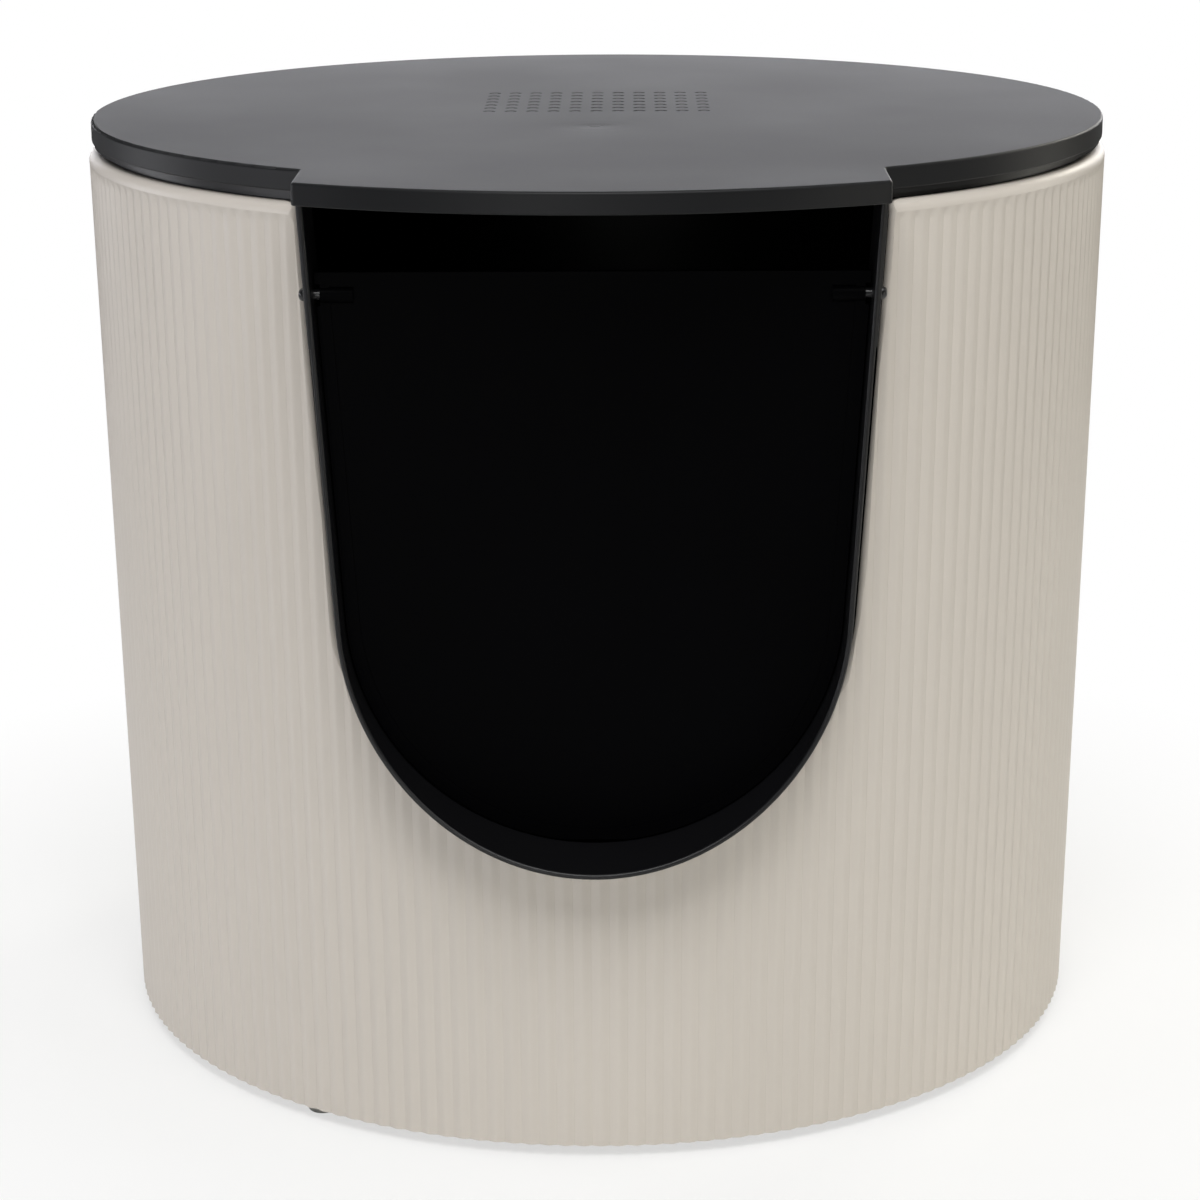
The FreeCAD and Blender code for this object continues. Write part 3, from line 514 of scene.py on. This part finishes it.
class LITTERBOX_OT_feet(bpy.types.Operator):
    """Clear silicone bumpers under the drum"""
    bl_idname = "litterbox.feet"
    bl_label = "Feet"

    def execute(self, context):
        # Clear silicone: milky and faintly glossy, it takes the dark of the shadow under the drum
        finish = silicone("clear_silicone", linear(context.scene.litterbox_finish.feet))
        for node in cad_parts:
            if node.startswith("foot_"):
                dress(node, finish)
        return {"FINISHED"}


class LITTERBOX_OT_liner(bpy.types.Operator):
    """Liner with the entry spout, and its hinge pins"""
    bl_idname = "litterbox.liner"
    bl_label = "Liner"

    def execute(self, context):
        finishes = context.scene.litterbox_finish
        # Black polypropylene: nearly black inside, with a grey satin line along the spout's rounded edges
        dress("litter_liner", moulded("moulded_black_polypropylene", linear(finishes.liner), roughness=0.38,
                                      grain_mm=0.7, grain_height_mm=0.012, specular=0.35, mottle=0.04))
        # Blackened steel: smoother than the plastic beside it, so that the small round heads glint
        pin_finish = moulded("blackened_steel", linear(finishes.pins), roughness=0.28,
                             grain_mm=0.5, grain_height_mm=0.004)
        dress("hinge_pin_left", pin_finish)
        dress("hinge_pin_right", pin_finish)
        return {"FINISHED"}


class LITTERBOX_OT_flap(bpy.types.Operator):
    """Swing flap"""
    bl_idname = "litterbox.flap"
    bl_label = "Flap"

    def execute(self, context):
        finishes = context.scene.litterbox_finish
        # Smoked acrylic before the dark inside: the deepest black of the box, painted shade that stands for
        # the unlit inside seen through it, without any reflection
        dress("flap_door", moulded("smoked_acrylic_painted_shade", linear(finishes.flap), roughness=0.45,
                                   grain_mm=1.2, grain_height_mm=0.004, specular=0.02, mottle=0.2))
        return {"FINISHED"}


class LITTERBOX_OT_lid(bpy.types.Operator):
    """Lid with its vents"""
    bl_idname = "litterbox.lid"
    bl_label = "Lid"

    def execute(self, context):
        finishes = context.scene.litterbox_finish
        # Spark-textured ABS: black seen from the front, mid grey where the top takes the light from behind
        dress("lid", moulded("spark_textured_black_abs", linear(finishes.lid), roughness=0.46, grain_mm=0.7,
                             grain_height_mm=0.02, specular=0.25, mottle=0.05, gate=gate_mark))
        return {"FINISHED"}


PAD_CORNER = 4 * MM
PAD_BORDER = 3 * MM
PAD_SLOPE = 1.5 * MM
PAD_PRESSED = 2.6 * MM
PAD_EDGE_ROUND = 0.6 * MM
PAD_CREASE = 60


def pad_mesh(low, high):
    """Felt pad with rounded corners and a pressed border round its thick middle."""
    mesh = bmesh.new()
    bmesh.ops.create_cube(mesh, size=1)
    size = high - low
    bmesh.ops.scale(mesh, vec=size, verts=mesh.verts)
    bmesh.ops.translate(mesh, vec=(low + high) / 2, verts=mesh.verts)
    upright = [edge for edge in mesh.edges
               if abs(edge.verts[0].co.z - edge.verts[1].co.z) > size.z / 2]
    bmesh.ops.bevel(mesh, geom=upright, offset=PAD_CORNER, offset_type="OFFSET", segments=6,
                    profile=0.5, affect="EDGES", material=-1)
    top = max(mesh.faces, key=lambda face: face.calc_center_median().z)
    bmesh.ops.translate(mesh, vec=(0, 0, -PAD_PRESSED), verts=top.verts)
    bmesh.ops.inset_region(mesh, faces=[top], thickness=PAD_BORDER)
    bmesh.ops.inset_region(mesh, faces=[top], thickness=PAD_SLOPE, depth=PAD_PRESSED)
    return mesh


class LITTERBOX_OT_filter(bpy.types.Operator):
    """Slotted filter cover, and the felt pad that lies on it"""
    bl_idname = "litterbox.filter"
    bl_label = "Filter"

    def execute(self, context):
        finishes = context.scene.litterbox_finish
        # Black polypropylene of the cover: the liner's satin black, so that both read as one set
        dress("filter_cover", moulded("moulded_black_polypropylene_cover", linear(finishes.liner),
                                      roughness=0.42, grain_mm=0.7, grain_height_mm=0.012))
        # Carbon felt: dull, fibrous and slightly greyer than the plastic round it
        pad = to_object(pad_mesh(pad_low, pad_high), "carbon_pad",
                        felt("carbon_felt", linear(finishes.felt)))
        soften = pad.modifiers.new("soft edges", "BEVEL")
        soften.width, soften.segments = PAD_EDGE_ROUND, 3
        smooth(pad, PAD_CREASE)
        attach(pad, "filter_tray")
        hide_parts("carbon_filter")
        return {"FINISHED"}


# Stage

WHITE = "#FFFFFF"
COOL = "#FAFAFF"
CREAM = "#FFFBF0"
PAPER = "#F4F4F2"


def area_light(name, place, target, size, power, tint):
    data = bpy.data.lights.new(name, "AREA")
    data.shape = "RECTANGLE"
    data.size, data.size_y = size
    data.energy = power
    data.color = from_hex(tint)[:3]
    lamp = bpy.data.objects.new(name, data)
    lamp.location = place
    lamp.rotation_euler = (Vector(target) - Vector(place)).to_track_quat("-Z", "Y").to_euler()
    lamp.visible_camera = False
    bpy.context.scene.collection.objects.link(lamp)


# Camera from the fit of the outlines: angles, the point it looks at, and its lens in pixels of the photo
# on a sensor in millimetres

CAMERA_YAW = math.radians(-0.56)
CAMERA_PITCH = math.radians(15.82)
CAMERA_ROLL = math.radians(-0.302)
CAMERA_ASIDE = 0.26 * MM
CAMERA_HEIGHT = 162.65 * MM
CAMERA_DISTANCE = 1378.2 * MM
SENSOR = 36
FOCAL_PIXELS = 3159.6
PHOTO_PIXELS = 1200


def photo_camera():
    """Camera fitted to the photograph."""
    yaw, pitch, roll = CAMERA_YAW, CAMERA_PITCH, CAMERA_ROLL
    target = Vector((CAMERA_ASIDE * math.cos(yaw), -CAMERA_ASIDE * math.sin(yaw), CAMERA_HEIGHT))
    side = Vector((math.cos(yaw), -math.sin(yaw), 0))
    ahead = Vector((math.sin(yaw) * math.cos(pitch), math.cos(yaw) * math.cos(pitch), -math.sin(pitch)))
    up = side.cross(ahead)
    right = side * math.cos(roll) + up * math.sin(roll)
    top = up * math.cos(roll) - side * math.sin(roll)
    data = bpy.data.cameras.new("photo_camera")
    data.sensor_width = SENSOR
    data.lens = SENSOR * FOCAL_PIXELS / PHOTO_PIXELS
    camera = bpy.data.objects.new("photo_camera", data)
    turn = Matrix((right, top, -ahead)).transposed().to_4x4()
    shift = drum_axis + Vector((0, 0, drum_low.z))
    camera.matrix_world = Matrix.Translation(target - ahead * CAMERA_DISTANCE + shift) @ turn
    bpy.context.scene.collection.objects.link(camera)
    bpy.context.scene.camera = camera


# Floor: plain white for the camera from WHITE_FROM outwards, and a share of it within SHADOW_REACH

FLOOR_RADIUS = 1.25
SHADOW_REACH = 0.24
WHITE_FROM = 0.5
WHITE_SHARE = 0.6
ROOM_LIGHT = 0.01


def stage_material():
    """Pale paper: it keeps the box's soft shadow near it and fades to plain white for the camera."""
    material, tree = new_material("pale_paper")
    place = add_node(tree, "ShaderNodeTexCoord").outputs["Object"]
    reach = add_node(tree, "ShaderNodeVectorMath", None, {0: place}, operation="LENGTH")
    share = add_node(tree, "ShaderNodeMapRange",
                     {"From Min": SHADOW_REACH, "From Max": WHITE_FROM, "To Min": WHITE_SHARE,
                      "To Max": 1},
                     {"Value": reach.outputs["Value"]})
    ray = add_node(tree, "ShaderNodeLightPath")
    lift = add_node(tree, "ShaderNodeMath", None,
                    {0: ray.outputs["Is Camera Ray"], 1: share.outputs["Result"]}, operation="MULTIPLY")
    paper = add_node(tree, "ShaderNodeBsdfDiffuse", {"Color": from_hex(PAPER)})
    white = add_node(tree, "ShaderNodeEmission", {"Color": from_hex(WHITE), "Strength": 1})
    mixed = add_node(tree, "ShaderNodeMixShader", None,
                     {0: lift.outputs[0], 1: paper.outputs[0], 2: white.outputs[0]})
    finish_material(tree, mixed)
    return material


# Softboxes: azimuth from the front to the right and elevation in degrees, width and height in metres,
# watts, tint

LAMP_DISTANCE = 2.2
LAMP_TARGET = (0, 0, 0.2)
LAMPS = {
    "softbox_front_high": (0, 55, (1.1, 1.1), 29.9, WHITE),
    "softbox_right_high": (60, 55, (1.1, 1.1), 7.6, WHITE),
    "softbox_left_high": (-120, 55, (1.1, 1.1), 4.5, WHITE),
    "softbox_back_high": (180, 55, (1.1, 1.1), 4.2, COOL),
    "softbox_back_low": (180, 8, (2.75, 0.55), 20.5, COOL),
    "strip_front": (-10, 5, (0.45, 0.8), 5.6, WHITE),
    "strip_left": (-70, 5, (0.45, 0.8), 8.0, COOL),
    "strip_left_back": (-110, 5, (0.45, 0.8), 7.0, COOL),
    "strip_right": (50, 5, (0.45, 0.8), 5.0, CREAM),
    "strip_right_back": (110, 5, (0.45, 0.8), 4.4, CREAM),
    "softbox_left_back": (-100, 27, (0.6, 1.0), 1.4, COOL),
    "softbox_right": (100, 27, (0.6, 1.0), 3.0, CREAM),
    "softbox_right_back": (140, 27, (0.6, 1.0), 11.9, CREAM),
}


def lamp_place(azimuth, elevation):
    turn, rise = math.radians(azimuth), math.radians(elevation)
    way = Vector((math.sin(turn) * math.cos(rise), -math.cos(turn) * math.cos(rise), math.sin(rise)))
    return Vector(LAMP_TARGET) + way * LAMP_DISTANCE


class LITTERBOX_OT_stage(bpy.types.Operator):
    """Floor, world, lamps and camera"""
    bl_idname = "litterbox.stage"
    bl_label = "Stage"

    def execute(self, context):
        mesh = bmesh.new()
        bmesh.ops.create_circle(mesh, cap_ends=True, radius=FLOOR_RADIUS, segments=128)
        floor = to_object(mesh, "floor", stage_material())
        world = bpy.data.worlds.new("studio")
        context.scene.world = world
        world.use_nodes = True
        tree = world.node_tree
        tree.nodes.clear()
        ray = add_node(tree, "ShaderNodeLightPath")
        room = add_node(tree, "ShaderNodeBackground",
                        {"Color": from_hex(WHITE), "Strength": ROOM_LIGHT})
        white = add_node(tree, "ShaderNodeBackground", {"Color": from_hex(WHITE), "Strength": 1})
        mixed = add_node(tree, "ShaderNodeMixShader", None,
                         {0: ray.outputs["Is Camera Ray"], 1: room.outputs[0], 2: white.outputs[0]})
        add_node(tree, "ShaderNodeOutputWorld", links={"Surface": mixed.outputs[0]})
        for name, (azimuth, elevation, size, power, tint) in LAMPS.items():
            area_light(name, lamp_place(azimuth, elevation), LAMP_TARGET, size, power, tint)
        photo_camera()
        context.scene.view_settings.view_transform = "Standard"
        return {"FINISHED"}


class LITTERBOX_PT_panel(bpy.types.Panel):
    """Lists the pieces of the litter box"""
    bl_label = "Litter box"
    bl_idname = "LITTERBOX_PT_panel"
    bl_space_type = "VIEW_3D"
    bl_region_type = "UI"
    bl_category = "Litter box"

    def draw(self, context):
        for operator in OPERATORS:
            self.layout.operator(operator.bl_idname)


SETTINGS = {"litterbox_drum": DrumSettings, "litterbox_slot": SlotSettings,
            "litterbox_finish": FinishSettings}
OPERATORS = (LITTERBOX_OT_drum, LITTERBOX_OT_feet, LITTERBOX_OT_liner, LITTERBOX_OT_flap,
             LITTERBOX_OT_lid, LITTERBOX_OT_filter, LITTERBOX_OT_stage)


def register():
    for kind in (*SETTINGS.values(), *OPERATORS, LITTERBOX_PT_panel):
        bpy.utils.register_class(kind)
    for name, kind in SETTINGS.items():
        setattr(bpy.types.Scene, name, bpy.props.PointerProperty(type=kind))


def unregister():
    for name in SETTINGS:
        delattr(bpy.types.Scene, name)
    for kind in (LITTERBOX_PT_panel, *reversed(OPERATORS), *SETTINGS.values()):
        bpy.utils.unregister_class(kind)


def main():
    register()
    for operator in OPERATORS:
        group, name = operator.bl_idname.split(".")
        getattr(getattr(bpy.ops, group), name)()


if __name__ == "__main__":
    main()
